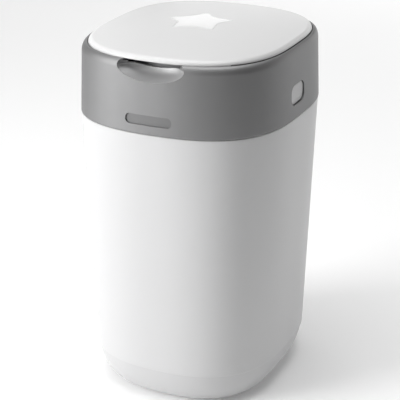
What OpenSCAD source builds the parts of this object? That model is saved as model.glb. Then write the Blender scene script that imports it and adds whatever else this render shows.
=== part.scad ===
// Nappy bin: a tapered tub, a hinged head with a twisting film cassette in it, and a hinged lid on the head.
// Millimetres. +Z up, front towards -Y, origin on the floor at the middle of the base.

/* [Outline] */
// Full width of the head band at its lower edge
band_w = 248; // [242:1:256]
// Full depth of the head band at its lower edge
band_d = 276; // [270:1:284]
// Roundness of the plan outline across the width
round_x = 2.44; // [2.3:0.02:2.6]
// Roundness of the plan outline along the depth
round_y = 3.1; // [2.9:0.05:3.4]

/* [Tub] */
// How much each side of the tub leans in from the seam to the floor
tub_taper = 12; // [8:0.5:14]
// Wall thickness of the tub
tub_wall = 2.6; // [2.2:0.1:3.2]
// Height of the crease where the rounded foot starts
foot_z = 41.5; // [34:0.5:46]
// How far the rounded foot curves in at the floor
foot_in = 24.5; // [18:0.5:28]

/* [Head] */
// Wall thickness of the head band
band_wall = 2.6; // [2.2:0.1:2.8]
// How much each side of the band leans in between the seam and the shoulder
band_lean = 2.3; // [1.5:0.1:2.6]
// Half width of the finger scoop under the front of the lid
scoop_w = 41; // [34:1:44]
// Width of a release button's face
button_w = 36; // [30:1:38]
// Height of a release button's face
button_h = 22; // [19:1:24]
// Travel of a release button
button_travel = 4; // [3:0.5:4.5]

/* [Lid] */
// Thickness of the lid shell
lid_wall = 2.4; // [2:0.1:2.8]
// Rise of the lid's dome above its rounded edge
lid_dome = 7.4; // [5:0.2:9]
// Radius of the circle through the star's points
star_r = 40; // [30:1:46]

/* [Cassette and twist drive] */
// Outer radius of the film cassette
cassette_r = 94; // [90:0.5:94.5]
// Inner radius of the open throat through the twist ring
throat_r = 57.5; // [50:0.5:57.5]
// Number of click teeth on the cassette carrier
click_teeth = 36; // [12:12:36]

/* [Hidden] */
$fn = 96;
N = 80;              // points round a lofted ring
seam_z = 334;        // top ledge of the tub
band_z0 = 334.4;     // lower edge of the head band
should_z = 404;      // where the band turns into its shoulder
rim_z = 414;         // top of the head's rim
should_in = 5.7;     // how far the shoulder curves in
rebate_in = band_lean + should_in;   // inset of the lid rebate's wall
ledge_z = 411;       // seat that the lid stands on
lid_in = rebate_in + 1.3;            // inset of the lid's edge
lid_edge_z = 413.6;  // height of the lid's widest line
A = band_w / 2;
B = band_d / 2;
tilt_y = 132.1;      // head hinge axis
tilt_z = 336;
knuckle_x = 21;      // half length of the head's middle knuckle
lidh_y = 131;        // lid hinge axis
lidh_z = 411.8;
star_z = lid_edge_z + 5 + lid_dome - 1.5;   // floor of the star's seat
star_x = -6;         // middle of the star
star_y = 5.5;
well_r = 103;        // outside of the deck's well
but_y = -11.5;          // middle of the release buttons
but_z = 362;
pawl_a = 122;        // bearing of the pawl's pivot
pawl_r = 113;

// ---- outline and lofts ----
function sp(v, e) = sign(v) * pow(abs(v), e);
function outline(a, b) = [for (i = [0:N - 1]) let (t = 360 * i / N) [a * sp(cos(t), 2 / round_x), b * sp(sin(t), 2 / round_y)]];
function ring(ins, z) = [for (p = outline(A - ins, B - ins)) [p[0], p[1], z]];
function side_faces(n, j, k) = [for (i = [0:n - 1]) let (a = j * n + i, b = j * n + (i + 1) % n, c = k * n + (i + 1) % n, d = k * n + i) each [[a, d, c], [a, c, b]]];
// Solid through a list of [inset, z] stations, capped at the first and the last.
module loft(st) {
    n = N; m = len(st);
    polyhedron(points = [for (s = st) each ring(s[0], s[1])],
        faces = concat([[for (i = [0:n - 1]) i]], [for (j = [0:m - 2]) each side_faces(n, j, j + 1)], [[for (i = [n - 1:-1:0]) (m - 1) * n + i]]));
}
// Closed shell of revolution-like section: the last station joins the first.
module loft_tube(st) {
    n = N; m = len(st);
    polyhedron(points = [for (s = st) each ring(s[0], s[1])],
        faces = [for (j = [0:m - 1]) each side_faces(n, j, (j + 1) % m)]);
}
module plate(ins, z0, z1) { translate([0, 0, z0]) linear_extrude(z1 - z0) polygon(outline(A - ins, B - ins)); }
module tube(r1, r0, z0, z1) { translate([0, 0, z0]) difference() { cylinder(r = r1, h = z1 - z0); translate([0, 0, -1]) cylinder(r = r0, h = z1 - z0 + 2); } }
module sector(r0, r1, z0, z1, a0, a1) { rotate([0, 0, a0]) rotate_extrude(angle = a1 - a0) translate([r0, z0]) square([r1 - r0, z1 - z0]); }
module xcyl(r, x0, x1, y, z) { translate([x0, y, z]) rotate([0, 90, 0]) cylinder(r = r, h = x1 - x0); }
// Rounded rectangle in Y and Z, extruded along X from x0 to x1.
module xpad(w, h, r, x0, x1, y, z) {
    translate([x0, y, z]) rotate([90, 0, 90]) linear_extrude(x1 - x0) union() {
        square([w - 2 * r, h], center = true);
        square([w, h - 2 * r], center = true);
        for (i = [-1, 1], j = [-1, 1]) translate([i * (w / 2 - r), j * (h / 2 - r)]) circle(r);
    }
}
module ellipsoid(rx, ry, rz) { scale([rx / 20, ry / 20, rz / 20]) sphere(r = 20); }
// Coil along +Z: one tube swept round a helix.
module coil(r, wire, len, turns, seg = 14, k = 6) {
    m = turns * seg;
    polyhedron(points = [for (j = [0:m]) let (t = j / m, a = 360 * turns * t) for (i = [0:k - 1]) let (q = 360 * i / k, rr = r + wire * cos(q)) [rr * cos(a), rr * sin(a), wire + (len - 2 * wire) * t + wire * sin(q)]],
        faces = concat([[for (i = [k - 1:-1:0]) i]], [for (j = [0:m - 1]) for (i = [0:k - 1]) let (a = j * k + i, b = j * k + (i + 1) % k, c = (j + 1) * k + (i + 1) % k, d = (j + 1) * k + i) each [[a, c, d], [a, b, c]]], [[for (i = [0:k - 1]) m * k + i]]));
}

// ---- tub ----
function tub_in(z) = 0.6 + tub_taper * (1 - z / seam_z);
foot_tilt = 0.11;     // how much the foot leans in straight after the crease
function foot(d) = [for (q = [90:-15:0]) let (z = foot_z * (1 - sin(q))) [tub_in(z) + 0.8 + foot_tilt * (foot_z - z) + (foot_in - 0.8 - foot_tilt * foot_z) * (1 - cos(q)) + d, z]];
module tub_shell() color([0.95, 0.95, 0.94]) {
    w = tub_wall;
    lip = 6.4;
    difference() {
        union() {
            loft_tube([
                [tub_in(foot_z) + 0.8, foot_z], [tub_in(foot_z + 0.8), foot_z + 0.8], [tub_in(seam_z - 1), seam_z - 1], [tub_in(seam_z) + 0.6, seam_z],
                [lip - 2.4, seam_z], [lip - 2.4, seam_z + 6.2], [lip - 1.8, seam_z + 7], [lip, seam_z + 7], [lip, seam_z - 8],
                [tub_in(seam_z - 8) + w, seam_z - 8], [tub_in(foot_z + 0.8) + w, foot_z + 0.8], [tub_in(foot_z) + w + 0.8, foot_z]]);
            // hinge knuckles and the pads that carry them on the wall
            tub_knuckles();
        }
        // rim lowered where the head's wall turns down behind the axis
        difference() {
            translate([-54.5, 122, seam_z]) cube([109, 20, 12]);
            tub_knuckles();
        }
        // room for the head's middle knuckle
        translate([-knuckle_x - 0.4, 124.6, tilt_z - 6.5]) cube([2 * knuckle_x + 0.8, 20, 20]);
        xcyl(2, -40, 40, tilt_y, tilt_z);
    }
}
// Rounded foot and floor of the tub, joined to the wall at the crease
module tub_base() color([0.93, 0.93, 0.92]) loft(concat(foot(0),
    [for (q = [0:15:75]) let (z = 3.2 + (foot_z - 3.2) * (1 - sin(q))) [tub_in(z) + tub_wall + 0.8 + foot_tilt * (foot_z - z) + (foot_in - 2 - foot_tilt * foot_z) * (1 - cos(q)), z]],
    [[tub_in(3.2) + tub_wall + foot_in - 1, 3.2]]));
module tub_knuckles() for (s = [-1, 1]) {
    x0 = s > 0 ? knuckle_x + 0.4 : -38.4;
    xcyl(5.9, x0, x0 + 38 - knuckle_x, tilt_y, tilt_z);
    translate([x0, tilt_y - 5.9, seam_z - 14]) cube([38 - knuckle_x, 7.4, tilt_z - seam_z + 14]);
}
module head_hinge_pin() color([0.75, 0.75, 0.77]) xcyl(2, -38.4, 38.4, tilt_y, tilt_z);

// ---- head ----
function band_in(z) = band_lean * (z - band_z0 - 1) / (should_z - band_z0 - 1);
module head_shell() color([0.55, 0.55, 0.56]) {
    w = band_wall;
    difference() {
        union() {
            loft_tube(concat(
                [[0.8, band_z0], [0, band_z0 + 1]],
                [for (q = [0:15:90]) [band_lean + should_in * (1 - cos(q)), should_z + (rim_z - should_z) * sin(q)]],
                [[rebate_in, ledge_z], [13, ledge_z], [13, 408.6], [rebate_in + 0.2, 408.6], [band_lean + w + 1, 405.5], [band_lean + w, 402], [w, band_z0 + 1], [w + 0.3, band_z0]]));
            // back of the finger scoop
            difference() {
                intersection() {
                    translate([0, -137.5, 408.5]) ellipsoid(scoop_w + 2.4, 24.4, 17.9);
                    loft([[1.2, band_z0], [band_lean + 1, should_z], [rebate_in, 408.9]]);
                }
                // its upper edge dips in the middle, so that fingertips reach under the lid
                translate([0, -100, 0]) rotate([90, 0, 0]) linear_extrude(26) polygon([[-34, 412], [-30, 409.6], [-20, 406.6], [-10, 405.1], [0, 404.8], [10, 405.1], [20, 406.6], [30, 409.6], [34, 412]]);
            }
            // deck screw bosses
            for (s = [-1, 1], t = [-1, 1]) translate([s * 85, t * 101.5, 398.9]) cylinder(r = 4, h = 10);
            // lid hinge lugs at the ends of the notch
            for (s = [-1, 1]) {
                xcyl(3.2, s > 0 ? 42.5 : -47.5, s > 0 ? 47.5 : -42.5, lidh_y, lidh_z);
                translate([s > 0 ? 42.5 : -47.5, lidh_y - 3.4, 402.5]) cube([5, 6.2, lidh_z - 402.5]);
            }
            // head hinge knuckle in the middle and its web up to the wall
            head_knuckle();
            translate([-knuckle_x, tilt_y - 5.9, tilt_z + 9.2]) cube([2 * knuckle_x, 10.4, 5]);
        }
        // finger scoop
        translate([0, -137.5, 408.5]) ellipsoid(scoop_w, 22, 15.5);
        // notch that the tub's knuckles stand in
        difference() {
            translate([-54, 120, band_z0 - 1]) cube([108, 24, 11.6]);
            head_knuckle();
        }
        // notch for the lid's hinge barrel
        translate([-42.5, 127.2, 407.8]) cube([85, 14, 20]);
        translate([-42.5, 124, ledge_z]) cube([85, 14, 20]);
        // release button windows
        for (s = [-1, 1]) xpad(button_w + 1.6, button_h + 1.6, 9.2, s > 0 ? 110 : -140, s > 0 ? 140 : -110, but_y, but_z);
        // shallow bare plate recess on the front
        difference() {
            translate([-1.2, -120, 350.5]) rotate([90, 0, 0]) linear_extrude(30) union() {
                square([44.7, 11.5], center = true);
                square([55.5, 0.7], center = true);
                for (i = [-1, 1], j = [-1, 1]) translate([i * 22.35, j * 0.35]) circle(5.4);
            }
            loft([[1.5, band_z0 - 5], [band_lean + 1, should_z]]);
        }
        // screw pilot holes and the bores for both hinge pins
        for (s = [-1, 1], t = [-1, 1]) translate([s * 85, t * 101.5, 398]) cylinder(r = 1.4, h = 8.5);
        xcyl(2.05, -knuckle_x - 1, knuckle_x + 1, tilt_y, tilt_z);
        xcyl(1.25, -48, 48, lidh_y, lidh_z);
    }
}
module head_knuckle() {
    xcyl(5.9, -knuckle_x, knuckle_x, tilt_y, tilt_z);
    translate([-knuckle_x, tilt_y - 5.9, tilt_z]) cube([2 * knuckle_x, 6.6, 14]);
}
module lid_hinge_pin() color([0.75, 0.75, 0.77]) xcyl(1.25, -47.5, 47.5, lidh_y, lidh_z);

module head_deck() color([0.82, 0.82, 0.82]) difference() {
    plate(5.5, 396.4, 398.8);
    translate([0, 0, 390]) cylinder(r = well_r + 0.05, h = 20);
    // clearance round the finger scoop
    translate([-46, -140, 390]) cube([92, 26, 20]);
    for (s = [-1, 1], t = [-1, 1]) translate([s * 85, t * 101.5, 390]) cylinder(r = 1.8, h = 20);
}
// Round wall that the cassette carrier turns in
module cassette_well() color([0.82, 0.82, 0.82]) difference() {
    union() {
        tube(well_r, well_r - 2.4, 330, 398.8);
        // spring cups behind the release buttons
        for (s = [-1, 1]) xcyl(6.4, s > 0 ? 101.4 : -109, s > 0 ? 109 : -101.4, but_y, but_z);
        // shelf for the click pawl
        sector(well_r - 1, 118, 336, 338.8, pawl_a - 4, pawl_a + 12);
    }
    translate([0, 0, 335]) cylinder(r = well_r - 2.4, h = 60);
    // window for the pawl's nose, and the hole for its pin
    sector(well_r - 4, well_r + 1, 339.1, 348, pawl_a + 4, pawl_a + 12);
    rotate([0, 0, pawl_a]) translate([pawl_r, 0, 335]) cylinder(r = 1.5, h = 10);
    for (s = [-1, 1]) xcyl(5.1, s > 0 ? 103.3 : -112, s > 0 ? 112 : -103.3, but_y, but_z);
}
// Floor of the well with the runner for the carrier and the seat of the film gripper
module well_floor() color([0.82, 0.82, 0.82]) difference() {
    rotate_extrude() polygon([[60, 330], [64, 330], [64, 322], [76, 322], [76, 330], [well_r - 2.45, 330],
        [well_r - 2.45, 332.4], [91, 332.4], [91, 333.3], [88, 333.3], [88, 332.4], [60, 332.4]]);
    for (k = [0:5]) rotate([0, 0, 60 * k]) translate([70, 0, 321]) cylinder(r = 1.3, h = 8);
}
module screw(len, head_r, head_h, r) { union() { cylinder(r = head_r, h = head_h); translate([0, 0, head_h - 0.01]) cylinder(r = r, h = len); } }
module deck_screws() color([0.72, 0.72, 0.74])
    for (s = [-1, 1], t = [-1, 1]) translate([s * 85, t * 101.5, 394.2]) difference() {
        screw(9.5, 3, 2.2, 1.4);
        translate([-2, -0.4, -1]) cube([4, 0.8, 2]);
        translate([-0.4, -2, -1]) cube([0.8, 4, 2]);
    }

// Soft ring of fingers that holds the twisted film still.
module film_gripper() color([0.35, 0.35, 0.36]) {
    difference() {
        tube(78, 60, 319.6, 322);
        for (k = [0:5]) rotate([0, 0, 60 * k]) translate([70, 0, 318]) cylinder(r = 1.7, h = 6);
    }
    for (k = [0:11]) rotate([0, 0, 30 * k]) difference() {
        rotate([0, 0, -13]) rotate_extrude(angle = 26) polygon([[61, 320], [61, 321.8], [30, 316.6], [28.5, 315.2], [30, 314.8]]);
    }
}
module gripper_retainer() color([0.82, 0.82, 0.82]) difference() {
    tube(78, 62, 317.2, 319.6);
    for (k = [0:5]) rotate([0, 0, 60 * k]) translate([70, 0, 316]) cylinder(r = 1.7, h = 6);
}
module retainer_screws() color([0.72, 0.72, 0.74])
    for (k = [0:5]) rotate([0, 0, 60 * k]) translate([70, 0, 315.2]) difference() {
        screw(11, 3, 2, 1.3);
        translate([-2, -0.4, -1]) cube([4, 0.8, 1.8]);
        translate([-0.4, -2, -1]) cube([0.8, 4, 1.8]);
    }

// ---- film cutter ----
module cutter_track() color([0.82, 0.82, 0.82]) rotate([0, 0, 213]) rotate_extrude(angle = 114)
    polygon([[84, 330], [84, 322], [89, 322], [89, 324.2], [86.2, 324.2], [86.2, 330]]);
module cutter_track_outer() color([0.82, 0.82, 0.82]) rotate([0, 0, 213]) rotate_extrude(angle = 114)
    polygon([[98, 330], [98, 322], [93, 322], [93, 324.2], [95.8, 324.2], [95.8, 330]]);
module cutter_slider() color([0.40, 0.40, 0.42]) {
    difference() {
        union() {
            sector(86.6, 95.4, 324.6, 329.4, 220, 230);
            sector(89.4, 92.6, 318, 325, 221, 229);
            sector(80, 98, 311.2, 320.5, 219, 231);
            sector(62, 81, 311.2, 314.2, 221.5, 228.5);
        }
        for (k = [0:3]) sector(79, 99, 310, 312, 220.6 + 2.6 * k, 221.6 + 2.6 * k);
    }
}
module cutter_blade() color([0.8, 0.8, 0.82]) rotate([0, 0, 225]) translate([0, 0, 314.2]) linear_extrude(0.5)
    polygon([[52, -1.5], [60, -4.2], [78, -4.2], [78, 4.2], [64, 4.2]]);

// ---- click pawl ----
module pawl_pin() color([0.75, 0.75, 0.77]) rotate([0, 0, pawl_a]) translate([pawl_r, 0, 336]) union() {
    cylinder(r = 1.5, h = 13.6);
    translate([0, 0, 13.4]) cylinder(r = 3.2, h = 1.2);
}
module click_pawl() color([0.40, 0.40, 0.42]) rotate([0, 0, pawl_a]) translate([pawl_r, 0, 339.2]) difference() {
    union() {
        cylinder(r = 3.6, h = 6);
        // arm and the nose that drops into the click teeth
        translate([0, 0, 0.5]) linear_extrude(5) polygon([[2.2, 1], [-1.5, 16.5], [-4, 19], [-12, 19.3], [-16.04, 17.1], [-15.2, 15.9], [-8, 15.2], [-5.4, 13.6], [-2.6, 0.5]]);
    }
    translate([0, 0, -1]) cylinder(r = 1.55, h = 8);
}
module pawl_spring() color([0.75, 0.75, 0.77]) rotate([0, 0, pawl_a]) translate([pawl_r, 0, 345.3]) coil(2.6, 0.4, 3.8, 3);

// ---- release buttons ----
module release_button() {
    union() {
        xpad(button_w, button_h, 8.4, 117, 121.6, but_y, but_z);
        xpad(button_w + 5, button_h + 5, 7, 117, 119.2, but_y, but_z);
        xcyl(2.6, 107.8, 118, but_y, but_z);
        translate([113.2, but_y - 8, 344.5]) cube([5, 16, 8]);
        translate([113.2, but_y - 8, 318]) cube([2.4, 16, 28]);
        translate([0, but_y + 8, 0]) rotate([90, 0, 0]) linear_extrude(16) polygon([[115, 318], [115.6, 318], [117.2, 321.4], [117.2, 323.4], [115, 323.4]]);
    }
}
module release_button_right() color([0.72, 0.72, 0.73]) release_button();
module release_button_left() color([0.72, 0.72, 0.73]) mirror([1, 0, 0]) release_button();
module button_spring() { translate([107.6, but_y, but_z]) rotate([0, 90, 0]) coil(4.2, 0.45, 9.3, 4); }
module button_spring_right() color([0.75, 0.75, 0.77]) button_spring();
module button_spring_left() color([0.75, 0.75, 0.77]) mirror([1, 0, 0]) button_spring();

// ---- lid ----
function lid_rise(q) = let (e = min(1, max(0, (q - 0.957) / 0.043))) 5 * sqrt(1 - e * e) + lid_dome * (1 - q * q);
// Ring of the lid's surface at the share q of its outline, moved in by d and down by dz.
function lid_ring(q, d, dz) = [for (p = outline((A - lid_in - d) * q, (B - lid_in - d) * q)) [p[0], p[1], lid_edge_z - dz + lid_rise(q)]];
module lid_top() color([0.93, 0.93, 0.93]) {
    qs = [1, 0.9985, 0.994, 0.985, 0.972, 0.957, 0.85, 0.65, 0.4, 0.15, 0.02];
    inner = [0.15, 0.4, 0.65, 0.85, 0.957, 0.972, 0.985];
    w = lid_wall;
    rings = concat([ring(lid_in + 0.5, ledge_z + 0.4), ring(lid_in, ledge_z + 0.9)], [for (q = qs) lid_ring(q, 0, 0)]);
    inr = concat([for (q = inner) lid_ring(q, w, w)], [ring(lid_in + w, ledge_z + 0.4)]);
    n = N; m = len(rings); m2 = len(inr);
    difference() {
        union() {
            difference() {
                polyhedron(points = concat([for (r = rings) each r]),
                    faces = concat([[for (i = [0:n - 1]) i]], [for (j = [0:m - 2]) each side_faces(n, j, j + 1)], [[for (i = [n - 1:-1:0]) (m - 1) * n + i]]));
                polyhedron(points = concat([for (p = inr[m2 - 1]) [p[0], p[1], p[2] - 2]], [for (k = [m2 - 1:-1:0]) each inr[k]]),
                    faces = concat([[for (i = [0:n - 1]) i]], [for (j = [0:m2 - 1]) each side_faces(n, j, j + 1)], [[for (i = [n - 1:-1:0]) m2 * n + i]]));
            }
            // hinge barrel and its web
            xcyl(3.2, -42, 42, lidh_y, lidh_z);
            translate([-42, 124.6, lidh_z - 0.4]) cube([84, 6.4, 3]);
            // posts for the liner screws
            for (s = [-1, 1], t = [-1, 1]) translate([s * 62, t * 72, 411.5]) cylinder(r = 3.5, h = 9.5);
        }
        xcyl(1.3, -43, 43, lidh_y, lidh_z);
        for (s = [-1, 1], t = [-1, 1]) translate([s * 62, t * 72, 411]) cylinder(r = 1.3, h = 5);
        // shallow seat for the star
        translate([star_x, star_y, star_z]) rotate([0, 0, 10.8]) linear_extrude(4) star(star_r + 0.15);
        // relief under the front edge, over the finger scoop
        translate([-36, -140, 405]) cube([72, 20, 8.9]);
    }
}
module star(r) { polygon([for (k = [0:9]) let (rr = k % 2 == 0 ? r : r * 0.6, a = 90 + 36 * k) [rr * cos(a), rr * sin(a)]]); }
module lid_star() color([0.98, 0.98, 0.98]) intersection() {
    translate([star_x, star_y, star_z]) rotate([0, 0, 10.8]) linear_extrude(4) star(star_r);
    polyhedron(points = concat(lid_ring(0.5, 0, 6), [for (q = [0.5, 0.42, 0.34, 0.26, 0.18, 0.1, 0.02]) each lid_ring(q, 0, -0.15)]),
        faces = concat([[for (i = [0:N - 1]) i]], [for (j = [0:6]) each side_faces(N, j, j + 1)], [[for (i = [N - 1:-1:0]) 7 * N + i]]));
}
module lid_liner() color([0.85, 0.85, 0.85]) difference() {
    plate(14.6, 409.4, 411.4);
    for (s = [-1, 1], t = [-1, 1]) translate([s * 62, t * 72, 405]) cylinder(r = 1.7, h = 10);
    // cleared behind the finger scoop
    translate([-38, -140, 405]) cube([76, 28, 10]);
}
// Ring under the liner that carries the seal
module seal_ring() color([0.85, 0.85, 0.85]) tube(107, 104.6, 401.5, 409.4);
module lid_liner_screws() color([0.72, 0.72, 0.74])
    for (s = [-1, 1], t = [-1, 1]) translate([s * 62, t * 72, 407.2]) difference() {
        screw(5.8, 3, 2.2, 1.3);
        translate([-2, -0.4, -1]) cube([4, 0.8, 2]);
        translate([-0.4, -2, -1]) cube([0.8, 4, 2]);
    }
module lid_seal() color([0.30, 0.30, 0.31]) rotate_extrude() polygon([[104.6, 401.5], [103.6, 401.5], [103.6, 400], [105.2, 399], [107.4, 399], [108, 400], [108, 401.5], [107, 401.5]]);

// ---- twist drive and film cassette ----
module cassette_carrier() color([0.82, 0.82, 0.82]) difference() {
    union() {
        translate([0, 0, 333.4]) cylinder(r = 98, h = 59);
        // saw teeth for the click pawl
        translate([0, 0, 339.5]) linear_extrude(5.6) polygon([for (k = [0:click_teeth - 1]) let (a = pawl_a + 10 + 360 / click_teeth * k) each [[97.5 * cos(a), 97.5 * sin(a)], [99.8 * cos(a + 1), 99.8 * sin(a + 1)]]]);
    }
    translate([0, 0, 335.6]) cylinder(r = 96, h = 70);
    translate([0, 0, 330]) cylinder(r = 61.5, h = 10);
}
module twist_ring() color([0.86, 0.86, 0.86]) union() {
    rotate_extrude() polygon([[throat_r + 7.5, 394.6], [98.05, 394.6], [98.05, 386], [100, 386], [100, 397.4], [throat_r + 7.5, 397.4]]);
    // raised turn arrows
    for (a = [90, 270]) rotate([0, 0, a]) turn_arrow();
}
// Smooth collar of the throat, pressed into the twist ring
module throat_collar() color([0.90, 0.90, 0.90]) rotate_extrude() polygon([[throat_r, 384], [throat_r + 2, 384], [throat_r + 2, 394.6],
    [throat_r + 7.45, 394.6], [throat_r + 7.45, 397.4], [throat_r + 6, 398.6], [throat_r + 4, 399.2], [throat_r + 2, 398.6], [throat_r, 396.4]]);
// Two grips for turning the ring
module twist_grips() color([0.70, 0.70, 0.71]) for (a = [0, 180]) rotate([0, 0, a - 9]) rotate_extrude(angle = 18)
    polygon([[68, 397.4], [69.6, 403.4], [71.6, 404.6], [90.4, 404.6], [92.4, 403.4], [95, 397.4]]);
module turn_arrow() {
    sector(79.5, 83.5, 396.4, 398, -16, 8);
    rotate([0, 0, 7.8]) translate([0, 0, 396.6]) linear_extrude(1.4) polygon([[76, 0], [87, 0], [81.5, 10]]);
}
module cassette_tray() color([0.97, 0.97, 0.97]) rotate_extrude() polygon([[63.05, 335.8], [cassette_r, 335.8], [cassette_r, 384], [cassette_r - 1.6, 384], [cassette_r - 1.6, 337.8], [63.05, 337.8]]);
// Inner tube of the cassette, snapped into the tray's floor
module cassette_core() color([0.97, 0.97, 0.97]) rotate_extrude() polygon([[61, 335.8], [63, 335.8], [63, 387.6], [61.2, 387.6], [61, 387]]);
module cassette_cap() color([0.97, 0.97, 0.97]) rotate_extrude() polygon([[66, 385.2], [66, 383.6], [67.4, 383.6], [67.4, 384.2], [cassette_r, 384.2], [cassette_r + 1.6, 384.2], [cassette_r + 1.6, 385.8], [68, 385.8]]);
module film_pack() color([0.86, 0.90, 0.88]) tube(cassette_r - 2.2, 63.8, 338, 382.6);

tub_shell();
tub_base();
head_hinge_pin();
head_shell();
head_deck();
cassette_well();
well_floor();
deck_screws();
lid_hinge_pin();
film_gripper();
gripper_retainer();
retainer_screws();
union() { cutter_track(); cutter_track_outer(); }
pawl_pin();
click_pawl();
pawl_spring();
cutter_slider();
cutter_blade();
release_button_right();
release_button_left();
button_spring_right();
button_spring_left();
lid_top();
lid_liner();
lid_liner_screws();
seal_ring();
lid_seal();
lid_star();
cassette_carrier();
twist_ring();
throat_collar();
twist_grips();
cassette_tray();
cassette_core();
cassette_cap();
film_pack();
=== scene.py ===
import math
import bmesh
import bpy
import numpy as np
from mathutils import Matrix, Vector


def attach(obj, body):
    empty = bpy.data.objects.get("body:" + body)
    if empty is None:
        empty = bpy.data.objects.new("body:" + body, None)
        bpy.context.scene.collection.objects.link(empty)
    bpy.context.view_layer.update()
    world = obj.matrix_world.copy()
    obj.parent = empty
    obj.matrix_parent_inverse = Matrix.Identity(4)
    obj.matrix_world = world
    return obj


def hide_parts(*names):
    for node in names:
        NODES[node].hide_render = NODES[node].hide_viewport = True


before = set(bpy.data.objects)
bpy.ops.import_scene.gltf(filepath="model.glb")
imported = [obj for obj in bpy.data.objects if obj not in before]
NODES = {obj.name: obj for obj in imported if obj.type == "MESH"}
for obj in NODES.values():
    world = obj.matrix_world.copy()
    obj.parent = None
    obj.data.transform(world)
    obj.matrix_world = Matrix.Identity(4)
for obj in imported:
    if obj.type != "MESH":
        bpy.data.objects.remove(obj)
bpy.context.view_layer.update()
MM = 0.001

# ---------------------------------------------------------------- camera
AZ, EL, DIST, TZ = math.radians(24.635), math.radians(21.941), 1.7048, 0.210
cam_data = bpy.data.cameras.new("camera")
cam = bpy.data.objects.new("camera", cam_data)
bpy.context.scene.collection.objects.link(cam)
back = Vector((math.sin(AZ) * math.cos(EL), -math.cos(AZ) * math.cos(EL), math.sin(EL)))
cam.location = Vector((0, 0, TZ)) + back * DIST
cam.rotation_mode = "QUATERNION"
cam.rotation_quaternion = (-back).to_track_quat("-Z", "Y")
cam_data.sensor_width = 36.0
cam_data.lens = 128.845
cam_data.shift_x = -0.0048
cam_data.shift_y = -0.0024
cam_data.clip_start, cam_data.clip_end = 0.05, 60.0
bpy.context.scene.camera = cam

# ---------------------------------------------------------------- outline
A, B, NX, NY = 124.0, 138.0, 2.44, 3.1
SEAM, BAND0, SHOULD, RIM = 334.0, 334.4, 404.0, 414.0
LEAN, SHIN = 2.3, 5.7
REB = LEAN + SHIN
LEDGE = 411.0
LIDIN, LIDZ, DOME, LWALL = REB + 1.3, 413.6, 7.4, 2.4
NRING = 288


def _angles(n):
    """Angles of the outline at equal steps along its length, the same on all four quarters."""
    q = n // 4
    t = np.linspace(0, math.pi / 2, 4001)
    x, y = A * np.cos(t) ** (2 / NX), B * np.sin(t) ** (2 / NY)
    s = np.concatenate([[0], np.cumsum(np.hypot(np.diff(x), np.diff(y)))])
    tq = np.interp(np.linspace(0, s[-1], q + 1)[:-1], s, t)
    tq2 = np.interp(s[-1] - np.linspace(0, s[-1], q + 1)[:-1], s, t)
    return np.concatenate([tq, math.pi - tq2, math.pi + tq, 2 * math.pi - tq2])


T = _angles(NRING)
CX, CY = np.cos(T), np.sin(T)
UX = np.sign(CX) * np.abs(CX) ** (2 / NX)
UY = np.sign(CY) * np.abs(CY) ** (2 / NY)


def ring(ins, z, q=1.0):
    return np.stack([(A - ins) * q * UX, (B - ins) * q * UY, np.full(NRING, float(z)) if np.ndim(z) == 0 else z], 1)


def outline_y(x, ins):
    return (B - ins) * (1 - min(1.0, abs(x) / (A - ins)) ** NX) ** (1 / NY)


# ---------------------------------------------------------------- mesh helpers
def make(name, verts, faces, body=None, smooth=True):
    me = bpy.data.meshes.new(name)
    me.from_pydata([tuple(float(c) * MM for c in v) for v in verts], [], [tuple(int(i) for i in f) for f in faces])
    me.validate()
    bm = bmesh.new()
    bm.from_mesh(me)
    bmesh.ops.recalc_face_normals(bm, faces=bm.faces)
    bm.to_mesh(me)
    bm.free()
    ob = bpy.data.objects.new(name, me)
    bpy.context.scene.collection.objects.link(ob)
    if smooth:
        me.shade_smooth()
    if body:
        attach(ob, body)
    return ob


def loft(name, rings, closed=False, cap=True):
    """Solid through rings of equal length. closed joins the last ring to the first."""
    n, m = len(rings[0]), len(rings)
    verts = np.concatenate(rings)
    faces = []
    for j in range(m if closed else m - 1):
        k = (j + 1) % m
        for i in range(n):
            i2 = (i + 1) % n
            faces.append((j * n + i, j * n + i2, k * n + i2, k * n + i))
    if cap and not closed:
        faces.append(tuple(range(n))[::-1])
        faces.append(tuple((m - 1) * n + i for i in range(n)))
    return make(name, verts, faces)


def box(name, lo, hi):
    x0, y0, z0 = lo
    x1, y1, z1 = hi
    v = [(x0, y0, z0), (x1, y0, z0), (x1, y1, z0), (x0, y1, z0), (x0, y0, z1), (x1, y0, z1), (x1, y1, z1), (x0, y1, z1)]
    f = [(0, 3, 2, 1), (4, 5, 6, 7), (0, 1, 5, 4), (1, 2, 6, 5), (2, 3, 7, 6), (3, 0, 4, 7)]
    return make(name, v, f, smooth=False)


def prism(name, pts, axis, lo, hi):
    """Extrudes an outline along X, Y or Z. pts are in the other two axes, in X, Y, Z order."""
    def p(u, v, w):
        return {"x": (w, u, v), "y": (u, w, v), "z": (u, v, w)}[axis]
    n = len(pts)
    v = [p(a, b, lo) for a, b in pts] + [p(a, b, hi) for a, b in pts]
    f = [tuple(range(n)), tuple(range(n, 2 * n))[::-1]] + [(i, (i + 1) % n, n + (i + 1) % n, n + i) for i in range(n)]
    return make(name, v, f, smooth=False)


def rrect(w, h, r, cx=0.0, cy=0.0, k=10):
    pts = []
    for sx, sy, a0 in ((1, 1, 0), (-1, 1, 90), (-1, -1, 180), (1, -1, 270)):
        for i in range(k + 1):
            a = math.radians(a0 + 90 * i / k)
            pts.append((cx + sx * (w / 2 - r) + r * math.cos(a), cy + sy * (h / 2 - r) + r * math.sin(a)))
    return pts


def circle(r, cx=0.0, cy=0.0, k=48):
    return [(cx + r * math.cos(2 * math.pi * i / k), cy + r * math.sin(2 * math.pi * i / k)) for i in range(k)]


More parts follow.
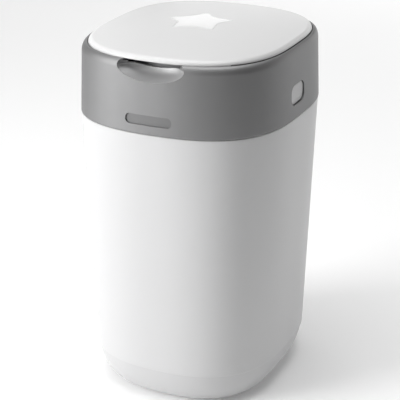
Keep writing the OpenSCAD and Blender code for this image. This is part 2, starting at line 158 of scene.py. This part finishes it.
def ellipsoid(name, c, r, nu=128, nv=64):
    v = [(c[0], c[1], c[2] - r[2])]
    for j in range(1, nv):
        b = -math.pi / 2 + math.pi * j / nv
        for i in range(nu):
            a = 2 * math.pi * (i + 0.5) / nu
            v.append((c[0] + r[0] * math.cos(b) * math.cos(a), c[1] + r[1] * math.cos(b) * math.sin(a), c[2] + r[2] * math.sin(b)))
    v.append((c[0], c[1], c[2] + r[2]))
    f = [(0, 1 + (i + 1) % nu, 1 + i) for i in range(nu)]
    for j in range(nv - 2):
        for i in range(nu):
            a, b2 = 1 + j * nu + i, 1 + j * nu + (i + 1) % nu
            f.append((a, b2, b2 + nu, a + nu))
    last = 1 + (nv - 2) * nu
    f += [(last + i, last + (i + 1) % nu, len(v) - 1) for i in range(nu)]
    return make(name, v, f)


def boolean(ob, cutter, op="DIFFERENCE", keep=False):
    m = ob.modifiers.new("b", "BOOLEAN")
    m.operation, m.solver, m.object = op, "EXACT", cutter
    bpy.context.view_layer.update()
    dg = bpy.context.evaluated_depsgraph_get()
    me = bpy.data.meshes.new_from_object(ob.evaluated_get(dg))
    ob.modifiers.remove(m)
    old = ob.data
    ob.data = me
    bpy.data.meshes.remove(old)
    if not keep:
        bpy.data.objects.remove(cutter)
    return ob


def apply(ob, kind, **kw):
    m = ob.modifiers.new("m", kind)
    for k, v in kw.items():
        setattr(m, k, v)
    bpy.context.view_layer.update()
    dg = bpy.context.evaluated_depsgraph_get()
    me = bpy.data.meshes.new_from_object(ob.evaluated_get(dg))
    ob.modifiers.remove(m)
    old = ob.data
    ob.data = me
    bpy.data.meshes.remove(old)
    return ob


def clean(ob, angle=28.0, dist=0.004):
    """Merges stray points left by a cut and shades smooth up to the angle."""
    bm = bmesh.new()
    bm.from_mesh(ob.data)
    bmesh.ops.remove_doubles(bm, verts=bm.verts, dist=dist * MM)
    bmesh.ops.dissolve_degenerate(bm, edges=bm.edges, dist=dist * MM)
    bm.to_mesh(ob.data)
    bm.free()
    ob.data.shade_smooth()
    ob.data.set_sharp_from_angle(angle=math.radians(angle))
    return ob


def arc(n, a0, a1):
    return [math.radians(a0 + (a1 - a0) * i / n) for i in range(n + 1)]


# ---------------------------------------------------------------- materials
def material(name, color, rough=0.4, metal=0.0, tone=0.02, tone_scale=6.0, grain=900.0, bump=0.00002, rough_var=0.05,
             coat=0.0, sheen=0.0, wear=0.0, spec=0.5, streak=None, film=False, sss=0.0):
    m = bpy.data.materials.new(name)
    m.use_nodes = True
    nt = m.node_tree
    nd, ln = nt.nodes, nt.links
    b = nd["Principled BSDF"]
    b.inputs["Metallic"].default_value = metal
    b.inputs["Specular IOR Level"].default_value = spec
    b.inputs["Coat Weight"].default_value = coat
    b.inputs["Coat Roughness"].default_value = 0.12
    b.inputs["Sheen Weight"].default_value = sheen
    if sss:
        b.inputs["Subsurface Weight"].default_value = sss
        b.inputs["Subsurface Radius"].default_value = (0.004, 0.004, 0.004)
    tc = nd.new("ShaderNodeTexCoord")
    big = nd.new("ShaderNodeTexNoise")
    big.inputs["Scale"].default_value = tone_scale
    big.inputs["Detail"].default_value = 3.0
    ln.new(tc.outputs["Object"], big.inputs["Vector"])
    mp = nd.new("ShaderNodeMapping")
    if streak:
        mp.inputs["Scale"].default_value = streak
    ln.new(tc.outputs["Object"], mp.inputs["Vector"])
    fine = nd.new("ShaderNodeTexNoise")
    fine.inputs["Scale"].default_value = grain
    fine.inputs["Detail"].default_value = 2.5
    fine.inputs["Roughness"].default_value = 0.6
    ln.new(mp.outputs["Vector"], fine.inputs["Vector"])
    mix = nd.new("ShaderNodeMix")
    mix.data_type = "RGBA"
    c = np.array(color[:3])
    mix.inputs[6].default_value = (*np.clip(c * (1 - tone), 0, 1), 1)
    mix.inputs[7].default_value = (*np.clip(c * (1 + tone), 0, 1), 1)
    ln.new(big.outputs["Fac"], mix.inputs[0])
    out = mix.outputs[2]
    if wear:
        geo = nd.new("ShaderNodeNewGeometry")
        edge = nd.new("ShaderNodeMapRange")
        edge.inputs["From Min"].default_value = 0.53
        edge.inputs["From Max"].default_value = 0.62
        edge.inputs["To Max"].default_value = wear
        ln.new(geo.outputs["Pointiness"], edge.inputs["Value"])
        mix2 = nd.new("ShaderNodeMix")
        mix2.data_type = "RGBA"
        mix2.inputs[7].default_value = (*np.clip(c * 1.25 + 0.03, 0, 1), 1)
        ln.new(edge.outputs["Result"], mix2.inputs[0])
        ln.new(out, mix2.inputs[6])
        out = mix2.outputs[2]
    ln.new(out, b.inputs["Base Color"])
    rr = nd.new("ShaderNodeMapRange")
    rr.inputs["To Min"].default_value = max(0.02, rough - rough_var)
    rr.inputs["To Max"].default_value = min(1.0, rough + rough_var)
    mid = nd.new("ShaderNodeTexNoise")
    mid.inputs["Scale"].default_value = tone_scale * 7
    mid.inputs["Detail"].default_value = 4.0
    ln.new(tc.outputs["Object"], mid.inputs["Vector"])
    ln.new(mid.outputs["Fac"], rr.inputs["Value"])
    ln.new(rr.outputs["Result"], b.inputs["Roughness"])
    bp = nd.new("ShaderNodeBump")
    bp.inputs["Strength"].default_value = 1.0
    bp.inputs["Distance"].default_value = bump
    ln.new(fine.outputs["Fac"], bp.inputs["Height"])
    ln.new(bp.outputs["Normal"], b.inputs["Normal"])
    m.diffuse_color = (*c, 1)
    return m


MAT = {
    "tub": material("tub_white", (0.675, 0.675, 0.679), rough=0.36, tone=0.006, grain=1400, bump=0.000012, rough_var=0.03, wear=0.0),
    # painted shade: the foot's white is darker than the tub's, standing in for the shade on the downward-facing foot
    "foot": material("foot_white_painted_shade", (0.640, 0.640, 0.644), rough=0.42, tone=0.006, grain=1400, bump=0.000014, rough_var=0.03),
    "band": material("band_grey", (0.26, 0.26, 0.262), rough=0.55, metal=0.7, tone=0.012, grain=1900, bump=0.00003, rough_var=0.04, wear=0.25),
    # painted light: the scoop's grey is lighter than the band's, standing in for the light that falls into its hollow
    "scoop": material("band_grey_scoop_painted_light", (0.42, 0.42, 0.423), rough=0.48, metal=0.5, tone=0.012, grain=1900, bump=0.00003, rough_var=0.04),
    "recess": material("band_grey_recess", (0.215, 0.215, 0.217), rough=0.62, metal=0.6, tone=0.012, grain=1500, bump=0.00005, rough_var=0.04),
    "lid": material("lid_white", (0.685, 0.685, 0.685), rough=0.40, tone=0.006, grain=1500, bump=0.000015, rough_var=0.03),
    "star": material("star_white", (0.78, 0.78, 0.78), rough=0.22, tone=0.004, grain=1200, bump=0.000008, rough_var=0.02, coat=0.3),
    "button": material("button_grey", (0.60, 0.60, 0.604), rough=0.45, tone=0.01, grain=1900, bump=0.00003, rough_var=0.04, wear=0.2),
    # painted shade: near-black colour for the lid's side wall where the groove beside the rim is in shade
    "lid_edge": material("lid_edge_shade", (0.06, 0.06, 0.06), rough=0.55, tone=0.03, grain=1500, bump=0.000015),
    "inner": material("inner_grey", (0.60, 0.60, 0.61), rough=0.5, tone=0.02, grain=1300, bump=0.00003, wear=0.2),
    "dark": material("dark_grey", (0.07, 0.07, 0.075), rough=0.5, tone=0.05, grain=1500, bump=0.00003, wear=0.2),
    "soft": material("soft_grey", (0.10, 0.10, 0.105), rough=0.72, tone=0.06, grain=2200, bump=0.00005, sheen=0.15),
    "steel": material("bright_steel", (0.62, 0.62, 0.64), rough=0.28, metal=1.0, tone=0.03, grain=700, bump=0.00001, streak=(1, 1, 12)),
    "cassette": material("cassette_white", (0.84, 0.84, 0.84), rough=0.45, tone=0.01, grain=1200, bump=0.00002, wear=0.1),
    "twist": material("twist_grey", (0.68, 0.68, 0.69), rough=0.45, tone=0.015, grain=1500, bump=0.00003, wear=0.2),
    "film": material("gathered_film", (0.74, 0.79, 0.77), rough=0.28, tone=0.08, tone_scale=40, grain=260, bump=0.0006, streak=(1, 1, 0.12), rough_var=0.1),
}


def paint(ob, key):
    ob.data.materials.clear()
    ob.data.materials.append(MAT[key])
    return ob


# ---------------------------------------------------------------- tub
def tub_in(z):
    return 0.6 + 12.0 * (1 - z / SEAM)


FZ, FIN, TW, FT = 41.5, 24.5, 2.6, 0.11
KX, TY, TZ2 = 21.0, 132.1, 336.0
foot = []
for q in arc(26, 90, 0):
    z = FZ * (1 - math.sin(q))
    foot.append((tub_in(z) + 0.8 + FT * (FZ - z) + (FIN - 0.8 - FT * FZ) * (1 - math.cos(q)), z))
for q in arc(16, 0, 84):
    z = 3.2 + (FZ - 3.2) * (1 - math.sin(q))
    foot.append((tub_in(z) + TW + 0.8 + FT * (FZ - z) + (FIN - 2 - FT * FZ) * (1 - math.cos(q)), z))
foot.append((tub_in(3.2) + TW + FIN - 1, 3.2))
base = loft("tub_foot", [ring(i, z) for i, z in foot])
st = [(tub_in(FZ) + 0.8, FZ), (tub_in(FZ + 0.25) + 0.62, FZ + 0.25), (tub_in(FZ + 0.55) + 0.2, FZ + 0.55), (tub_in(FZ + 0.8) + 0.03, FZ + 0.8), (tub_in(FZ + 1.2), FZ + 1.2)]
for z in np.linspace(48, SEAM - 1.2, 40):
    st.append((tub_in(z), z))
st += [(tub_in(SEAM) + 0.08, SEAM - 0.6), (tub_in(SEAM) + 0.25, SEAM - 0.2), (tub_in(SEAM) + 0.6, SEAM)]
st += [(4.0, SEAM), (4.0, SEAM + 6.2), (4.25, SEAM + 6.8), (4.7, SEAM + 7), (5.9, SEAM + 7), (6.3, SEAM + 6.8), (6.4, SEAM + 6.3), (6.4, SEAM - 8)]
st += [(tub_in(SEAM - 8) + TW, SEAM - 8)]
for z in np.linspace(SEAM - 14, FZ + 2, 24):
    st.append((tub_in(z) + TW, z))
st += [(tub_in(FZ) + TW + 0.8, FZ)]
tub = loft("tub_body", [ring(i, z) for i, z in st], closed=True)
clean(base)
# the foot gets the darker white, painted shade below the crease
for ob_ in (base,):
    paint(ob_, "foot")
    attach(ob_, "tub")
if "tub_base" in NODES:
    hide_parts("tub_base")


def xcyl(name, r, x0, x1, y, z, k=48):
    return prism(name, [(y + a, z + b) for a, b in circle(r, k=k)], "x", x0, x1)


def knuckle_set():
    out = []
    for s in (-1, 1):
        x0 = KX + 0.4 if s > 0 else -38.4
        pts = [(TY - 5.9, SEAM - 14), (TY + 1.5, SEAM - 14), (TY + 1.5, TZ2 - 5.7)]
        pts += [(TY + 5.9 * math.sin(a), TZ2 - 5.9 * math.cos(a)) for a in arc(30, 16, 270)]
        out.append(prism("knuckle", pts, "x", x0, x0 + 38 - KX))
    return out


boolean(tub, box("c", (-54.5, 122, SEAM), (54.5, 150, SEAM + 12)))
for k in knuckle_set():
    boolean(tub, k, "UNION")
boolean(tub, box("c", (-KX - 0.4, 124.6, TZ2 - 6.5), (KX + 0.4, 150, TZ2 + 13.5)))
boolean(tub, xcyl("c", 2.0, -40, 40, TY, TZ2))
clean(tub)
paint(tub, "tub")
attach(tub, "tub")
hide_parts("tub_shell")

# ---------------------------------------------------------------- head band
BW = 2.6
st = [(0.9, BAND0), (0.45, BAND0 + 0.12), (0.12, BAND0 + 0.45), (0.0, BAND0 + 1.0)]
for z in np.linspace(BAND0 + 2.5, SHOULD, 22):
    st.append((LEAN * (z - BAND0 - 1) / (SHOULD - BAND0 - 1), z))
for q in arc(22, 0, 90)[1:]:
    st.append((LEAN + SHIN * (1 - math.cos(q)), SHOULD + (RIM - SHOULD) * math.sin(q)))
st += [(REB + 0.25, RIM - 0.05), (REB + 0.42, RIM - 0.3), (REB + 0.42, LEDGE)]
st += [(13, LEDGE), (13, 408.6), (REB + 0.4, 408.6), (LEAN + BW + 1, 405.5), (LEAN + BW, 402), (BW + 1.2, 370), (BW, BAND0 + 1), (BW + 0.3, BAND0)]
band = loft("head_band", [ring(i, z) for i, z in st], closed=True)
SC = (0.0, -137.5, 408.5)
SR = (41.0, 22.0, 15.5)
bowl = ellipsoid("bowl", SC, (SR[0] + 2.4, SR[1] + 2.4, SR[2] + 2.4))
clip = loft("clip", [ring(1.2, BAND0), ring(LEAN + 1, SHOULD), ring(REB, 408.9)])
boolean(bowl, clip, "INTERSECT")
# the bowl's upper edge dips in the middle, so that fingertips reach under the lid
dip = [(-34, 412)] + [(x, 404.8 + 4.8 * (abs(x) / 30) ** 1.9) for x in np.linspace(-32, 32, 33)] + [(34, 412)]
boolean(bowl, prism("dip", dip, "y", -126, -100))
boolean(band, bowl, "UNION")
for s in (-1, 1):
    for t in (-1, 1):
        boolean(band, prism("boss", circle(4.0, s * 85, t * 101.5), "z", 398.9, 408.9), "UNION")
    x0 = 42.5 if s > 0 else -47.5
    pts = [(127.6, 402.5), (131.6, 402.5), (133.8, 404.6)] + [(131 + 3.2 * math.cos(a), 411.8 + 3.2 * math.sin(a)) for a in arc(20, 0, 180)]
    boolean(band, prism("lug", [(min(y, 134.2), z) for y, z in pts], "x", x0, x0 + 5), "UNION")


def head_knuckle():
    pts = [(TY - 5.9, TZ2 + 14), (TY - 5.9, TZ2)]
    pts += [(TY + 5.9 * math.sin(a), TZ2 - 5.9 * math.cos(a)) for a in arc(34, -90, 173)]
    pts += [(TY + 0.7, TZ2 + 6), (TY + 0.7, TZ2 + 14)]
    return prism("hk", pts, "x", -KX, KX)


boolean(band, head_knuckle(), "UNION")
boolean(band, box("web", (-KX, TY - 5.9, TZ2 + 9.2), (KX, TY + 4.5, TZ2 + 14.2)), "UNION")
notch = box("c", (-54, 120, BAND0 - 1), (54, 150, BAND0 + 10.6))
boolean(notch, head_knuckle())
boolean(band, notch)
boolean(band, box("c", (-42.5, 127.2, 407.8), (42.5, 150, 428)))
boolean(band, box("c", (-42.5, 124.0, LEDGE), (42.5, 150, 431)))
boolean(band, ellipsoid("scoop", SC, SR))
BY, BZ = -11.5, 362.0
for s in (-1, 1):
    boolean(band, prism("win", rrect(37.6, 23.6, 9.2, BY, BZ), "x", *((110, 140) if s > 0 else (-140, -110))))
plate_cut = prism("plate", rrect(55.5, 11.5, 5.4, -1.2, 350.5, 16), "y", -150, -120)
boolean(plate_cut, loft("pl", [ring(1.5, BAND0 - 5), ring(LEAN + 1.0, SHOULD)]))
boolean(band, plate_cut)
for s in (-1, 1):
    for t in (-1, 1):
        boolean(band, prism("c", circle(1.4, s * 85, t * 101.5, 24), "z", 398, 406.5))
boolean(band, xcyl("c", 2.05, -KX - 1, KX + 1, TY, TZ2))
boolean(band, xcyl("c", 1.25, -48, 48, 131, 411.8))
clean(band)
apply(band, "BEVEL", width=0.45 * MM, segments=2, limit_method="ANGLE", angle_limit=math.radians(40), use_clamp_overlap=True, harden_normals=False)
clean(band, 30, 0.001)
paint(band, "band")
# the scoop is painted lighter than the band, painted light standing in for the light its hollow catches, and the recess
# floor is a little duller
band.data.materials.append(MAT["scoop"])
band.data.materials.append(MAT["recess"])
for p in band.data.polygons:
    c = p.center / MM
    d = math.sqrt(sum(((c[k] - SC[k]) / SR[k]) ** 2 for k in range(3)))
    inward = Vector([(SC[k] - c[k]) / SR[k] ** 2 for k in range(3)]).normalized()
    if abs(d - 1) < 0.006 and c.z < 408 and p.normal.dot(inward) > 0.97:
        p.material_index = 1
    elif abs(c.x + 1.2) < 27.7 and abs(c.z - 350.5) < 5.7 and c.y < -110:
        depth = c.y + outline_y(c.x, LEAN * (c.z - BAND0 - 1) / (SHOULD - BAND0 - 1))
        if 0.5 < depth < 2.2:
            p.material_index = 2
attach(band, "head")
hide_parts("head_shell")

# ---------------------------------------------------------------- lid
def rise(q):
    e = min(1.0, max(0.0, (q - 0.957) / 0.043))
    return 5 * math.sqrt(max(0.0, 1 - e * e)) + DOME * (1 - q * q)


def lring(q, d=0.0, dz=0.0):
    return np.stack([(A - LIDIN - d) * q * UX, (B - LIDIN - d) * q * UY, np.full(NRING, LIDZ - dz + rise(q))], 1)


qs = [0.957 + 0.043 * math.cos(a) for a in arc(16, 0, 90)] + list(np.linspace(0.945, 0.03, 44))
rings = [ring(LIDIN + 0.5, LEDGE + 0.4), ring(LIDIN + 0.15, LEDGE + 0.5), ring(LIDIN, LEDGE + 0.9), ring(LIDIN, LEDGE + 1.8)] + [lring(q) for q in qs]
inner = [lring(q, LWALL, LWALL) for q in (0.03, 0.15, 0.4, 0.65, 0.85, 0.957, 0.972, 0.985)] + [ring(LIDIN + LWALL, LEDGE + 0.4)]


def shell(name, outer, innr):
    """Outer skin and inner skin joined at the lower edge, each closed at its middle."""
    n = NRING
    rr = list(outer)
    verts = np.concatenate(rr + list(innr))
    faces = []
    m = len(rr)
    for j in range(m - 1):
        for i in range(n):
            i2 = (i + 1) % n
            faces.append((j * n + i, j * n + i2, (j + 1) * n + i2, (j + 1) * n + i))
    faces.append(tuple((m - 1) * n + i for i in range(n)))
    k = len(innr)
    for j in range(k - 1):
        for i in range(n):
            i2 = (i + 1) % n
            a = (m + j) * n
            faces.append((a + i, a + i2, a + n + i2, a + n + i))
    faces.append(tuple(m * n + i for i in range(n)))
    for i in range(n):
        i2 = (i + 1) % n
        a = (m + k - 1) * n
        faces.append((i, i2, a + i2, a + i))
    return make(name, verts, faces)


lid = shell("lid_cover", rings, inner)
boolean(lid, xcyl("bar", 3.2, -42, 42, 131, 411.8), "UNION")
boolean(lid, box("web", (-42, 124.6, 411.4), (42, 131, 414.4)), "UNION")
for s in (-1, 1):
    for t in (-1, 1):
        boolean(lid, prism("post", circle(3.5, s * 62, t * 72, 32), "z", 411.5, 420.4), "UNION")
boolean(lid, xcyl("c", 1.3, -43, 43, 131, 411.8))
for s in (-1, 1):
    for t in (-1, 1):
        boolean(lid, prism("c", circle(1.3, s * 62, t * 72, 24), "z", 410.5, 416))


SX, SY = -6.0, 5.5


def star_pts(r, inner_share=0.6, turn=10.8, soft=0.0):
    pts = []
    for k in range(10):
        rr = r if k % 2 == 0 else r * inner_share
        a = math.radians(90 + 36 * k + turn)
        pts.append((rr * math.cos(a), rr * math.sin(a)))
    return pts


def round_star(r, tip=1.6, grow=0.0):
    """Five-pointed star with its points just taken off round."""
    base = star_pts(r)
    out = []
    n = len(base)
    for k in range(n):
        p0, p1, p2 = (Vector(base[(k + d) % n]) for d in (-1, 0, 1))
        cut = tip if k % 2 == 0 else tip * 0.8
        a, c = p1 + (p0 - p1).normalized() * cut, p1 + (p2 - p1).normalized() * cut
        for i in range(7):
            t = i / 6
            out.append((a * (1 - t) ** 2 + p1 * 2 * t * (1 - t) + c * t * t))
    if grow:
        grown = []
        m = len(out)
        for k in range(m):
            d = (out[(k + 1) % m] - out[k - 1]).normalized()
            grown.append(out[k] + Vector((d.y, -d.x)) * grow)
        out = grown
    return [tuple(p) for p in out]


STAR_Z = LIDZ + 5 + DOME - 1.5
boolean(lid, prism("seat", [(x + SX, y + SY) for x, y in round_star(40.0, grow=0.15)], "z", STAR_Z, 430))
boolean(lid, box("relief", (-36, -140, 405), (36, -120, 413.9)))
clean(lid, 26)
apply(lid, "BEVEL", width=0.25 * MM, segments=2, limit_method="ANGLE", angle_limit=math.radians(50), use_clamp_overlap=True)
clean(lid, 30, 0.001)
paint(lid, "lid")
# on the right the lid's side wall, which stands in the groove beside the rim, is painted near-black and duller: painted
# shade for the dark groove there
lid.data.materials.append(MAT["lid_edge"])
for p in lid.data.polygons:
    c = p.center / MM
    out = (abs(c.x) / (A - LIDIN)) ** NX + (abs(c.y) / (B - LIDIN)) ** NY
    if c.z < 414.35 and out > 0.985 and c.x > 82 and c.y < 120:
        p.material_index = 1
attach(lid, "lid")
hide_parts("lid_top")


def dome_z(x, y):
    lo, hi = 0.0, 1.0
    if x == 0 and y == 0:
        q = 0.0
    else:
        for _ in range(40):
            q = (lo + hi) / 2
            v = (abs(x) / ((A - LIDIN) * q)) ** NX + (abs(y) / ((B - LIDIN) * q)) ** NY if q > 0 else 9
            if v > 1:
                lo = q
            else:
                hi = q
    return LIDZ + rise(q)


# star inlay: concentric outlines that follow the lid's dome, with a small rounded edge
outl = [Vector(p) for p in round_star(40.0)]
verts, faces = [], []
levels = [(1.0, None, -1.45), (1.0, 0.0, -0.05), (1.0, 0.15, 0.06), (1.0, 0.4, 0.12)] + [(s, 0.4, 0.14) for s in (0.93, 0.85, 0.75, 0.62, 0.48, 0.34, 0.2, 0.08)]
m = len(outl)
for s, inset, up in levels:
    for k in range(m):
        d = (outl[(k + 1) % m] - outl[k - 1]).normalized()
        nrm = Vector((-d.y, d.x))
        p = outl[k] * s + (nrm * (inset or 0.0) * s) + Vector((SX, SY))
        z = STAR_Z + 0.02 if inset is None else dome_z(p.x, p.y) + up
        verts.append((p.x, p.y, z))
for j in range(len(levels) - 1):
    for k in range(m):
        k2 = (k + 1) % m
        faces.append((j * m + k, j * m + k2, (j + 1) * m + k2, (j + 1) * m + k))
verts.append((SX, SY, dome_z(SX, SY) + 0.14))
last = (len(levels) - 1) * m
faces += [(last + k, last + (k + 1) % m, len(verts) - 1) for k in range(m)]
faces.append(tuple(range(m))[::-1])
star = make("star_inlay", verts, faces)
star.data.set_sharp_from_angle(angle=math.radians(45))
paint(star, "star")
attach(star, "lid")
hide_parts("lid_star")

# ---------------------------------------------------------------- release buttons
def button(name, side, node, body):
    """Face with a soft rounded edge and a flat front; behind it the flange, stem and latch arm."""
    verts, faces = [], []
    prof = [(3.0, -4.6), (0.0, -4.6), (0.0, -0.9), (0.12, -0.45), (0.42, -0.14), (0.9, -0.02), (1.6, 0.0), (3.4, 0.0), (6.0, 0.0), (8.5, 0.0), (11.0, 0.0)]
    k = 12
    n = 4 * (k + 1)
    for inset, dx in prof[1:]:
        w, h = 36 - 2 * inset, 22 - 2 * inset
        r = max(0.3, 8.4 - inset * 0.8)
        for a, b in rrect(w, h, min(r, h / 2 - 0.01), BY, BZ, k):
            verts.append((121.6 + dx, a, b))
    rows = len(prof) - 1
    for j in range(rows - 1):
        for i in range(n):
            i2 = (i + 1) % n
            faces.append((j * n + i, j * n + i2, (j + 1) * n + i2, (j + 1) * n + i))
    faces.append(tuple(range(n)))
    faces.append(tuple((rows - 1) * n + i for i in range(n)))
    ob = make(name, verts, faces)
    boolean(ob, prism("fl", rrect(41, 27, 7, BY, BZ), "x", 117, 119.2), "UNION")
    boolean(ob, xcyl("stem", 2.6, 107.8, 118, BY, BZ), "UNION")
    boolean(ob, box("arm", (113.2, BY - 8, 344.5), (118.2, BY + 8, 352.5)), "UNION")
    boolean(ob, box("arm", (113.2, BY - 8, 318), (115.6, BY + 8, 346)), "UNION")
    boolean(ob, prism("nose", [(115, 318), (115.6, 318), (117.2, 321.4), (117.2, 323.4), (115, 323.4)], "y", BY - 8, BY + 8), "UNION")
    clean(ob, 35)
    if side < 0:
        for v in ob.data.vertices:
            v.co.x = -v.co.x
        ob.data.flip_normals()
    apply(ob, "BEVEL", width=0.2 * MM, segments=2, limit_method="ANGLE", angle_limit=math.radians(55), use_clamp_overlap=True)
    clean(ob, 35, 0.001)
    paint(ob, "button")
    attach(ob, body)
    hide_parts(node)
    return ob


button("side_button_right", 1, "release_button_right", "right_button")
button("side_button_left", -1, "release_button_left", "left_button")

# ---------------------------------------------------------------- inner pieces kept from the frame
KEEP = {
    "head_hinge_pin": "steel", "lid_hinge_pin": "steel", "deck_screws": "steel", "retainer_screws": "steel", "lid_liner_screws": "steel",
    "pawl_pin": "steel", "pawl_spring": "steel", "button_spring_right": "steel", "button_spring_left": "steel", "cutter_blade": "steel",
    "head_deck": "inner", "cassette_well": "inner", "well_floor": "inner", "seal_ring": "inner", "twist_grips": "dark", "gripper_retainer": "inner", "cutter_track": "inner", "lid_liner": "inner", "cassette_carrier": "inner",
    "twist_ring": "twist", "throat_collar": "twist", "cassette_tray": "cassette", "cassette_core": "cassette", "cassette_cap": "cassette", "film_pack": "film",
    "film_gripper": "soft", "lid_seal": "soft", "click_pawl": "dark", "cutter_slider": "dark",
}
for n, key in KEEP.items():
    if n not in NODES:
        continue
    o = NODES[n]
    if not o.data.materials:
        o.data.materials.append(MAT[key])
    for i in range(len(o.material_slots)):
        o.material_slots[i].link = "OBJECT"
        o.material_slots[i].material = MAT[key]

# ---------------------------------------------------------------- studio
def stage_plane(name, size, z, color, glow):
    me = bpy.data.meshes.new(name)
    s = size / 2
    me.from_pydata([(-s, -s, z), (s, -s, z), (s, s, z), (-s, s, z)], [], [(0, 1, 2, 3)])
    o = bpy.data.objects.new(name, me)
    bpy.context.scene.collection.objects.link(o)
    m = bpy.data.materials.new(name)
    m.use_nodes = True
    b = m.node_tree.nodes["Principled BSDF"]
    b.inputs["Base Color"].default_value = (*color, 1)
    b.inputs["Roughness"].default_value = 0.9
    b.inputs["Specular IOR Level"].default_value = 0.1
    b.inputs["Emission Color"].default_value = (1, 1, 1, 1)
    b.inputs["Emission Strength"].default_value = glow
    me.materials.append(m)
    return o


stage_plane("floor", 14.0, -0.0003, (0.92, 0.92, 0.92), 0.12)


def area(name, az, el, dist, size_x, size_y, power, aim=(0, 0, 0.22)):
    d = bpy.data.lights.new(name, "AREA")
    d.shape = "RECTANGLE"
    d.size, d.size_y = size_x, size_y
    d.energy = power
    o = bpy.data.objects.new(name, d)
    bpy.context.scene.collection.objects.link(o)
    a, e = math.radians(az), math.radians(el)
    dirv = Vector((math.sin(a) * math.cos(e), -math.cos(a) * math.cos(e), math.sin(e)))
    o.location = Vector(aim) + dirv * dist
    o.rotation_mode = "QUATERNION"
    o.rotation_quaternion = (-dirv).to_track_quat("-Z", "Y")
    o["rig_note"] = "light"
    return o


LIGHTS = {
    "key_left": (-45, 30, 2.2, 1.0, 1.2, 18.8),
    "key_left_low": (-45, 8, 2.2, 1.0, 1.2, 23.0),
    "top_box": (0, 89, 2.2, 1.8, 1.8, 37.5),
    "top_front": (-28, 68, 2.2, 1.8, 1.8, 8.3),
    "side_left": (-60, 8, 2.2, 1.0, 1.2, 0.8),
    "back_left": (-135, 8, 2.2, 1.0, 1.2, 2.8),
    "back_left_mid": (-135, 30, 2.2, 1.0, 1.2, 1.8),
    "back_left_low": (-165, 8, 2.2, 1.0, 1.2, 4.7),
    "back_right_low": (165, 8, 2.2, 1.0, 1.2, 6.6),
    "back_right": (135, 8, 2.2, 1.0, 1.2, 4.6),
}
for n, v in LIGHTS.items():
    area(n, *v)
w = bpy.data.worlds.new("studio")
bpy.context.scene.world = w
w.use_nodes = True
w.node_tree.nodes["Background"].inputs[0].default_value = (1, 1, 1, 1)
w.node_tree.nodes["Background"].inputs[1].default_value = 0.0
bpy.context.scene.view_settings.view_transform = "Standard"
bpy.context.scene.view_settings.look = "None"
